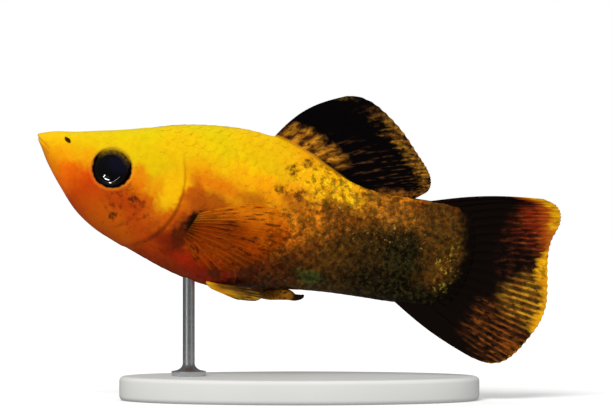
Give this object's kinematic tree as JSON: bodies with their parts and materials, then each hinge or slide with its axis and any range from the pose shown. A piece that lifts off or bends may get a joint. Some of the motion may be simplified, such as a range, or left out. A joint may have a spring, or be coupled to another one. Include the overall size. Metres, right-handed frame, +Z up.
{
  "type": "gold dust molly fish model",
  "caption": "Life-size model of a male gold dust molly, nose up, with spread fins, held by a slim rod on an oval display base.",
  "frame": {"origin": "centre of the whole part's box, on the surface that the base stands on", "axes": "+X towards the tail, +Y towards the fish's right side, +Z up"},
  "size_m": [0.0786, 0.034, 0.0456],
  "materials": {
    "gold_skin": "scaled skin, moist gloss, yellow on the back and orange below",
    "mottled_skin": "scaled skin, moist gloss, brown and black mottling on gold",
    "black_fin": "ribbed fin membrane, black with amber streaks and edge",
    "amber_fin": "ribbed, thin, amber fin membrane",
    "eye": "wet, glossy black with a thin pale ring",
    "stand_lacquer": "white satin lacquer",
    "stand_steel": "brushed"
  },
  "bodies": {
    "root": {"head": "gold_skin", "trunk": "gold_skin", "tail": "mottled_skin", "dorsal_fin": "black_fin", "caudal_fin": "black_fin", "gonopodium": "mottled_skin", "eye_left": "eye", "eye_right": "eye", "pectoral_fin_left": "amber_fin", "pectoral_fin_right": "amber_fin", "pelvic_fin_left": "amber_fin", "pelvic_fin_right": "amber_fin", "stand_base": "stand_lacquer", "stand_rod": "stand_steel"}
  },
  "joints": []
}
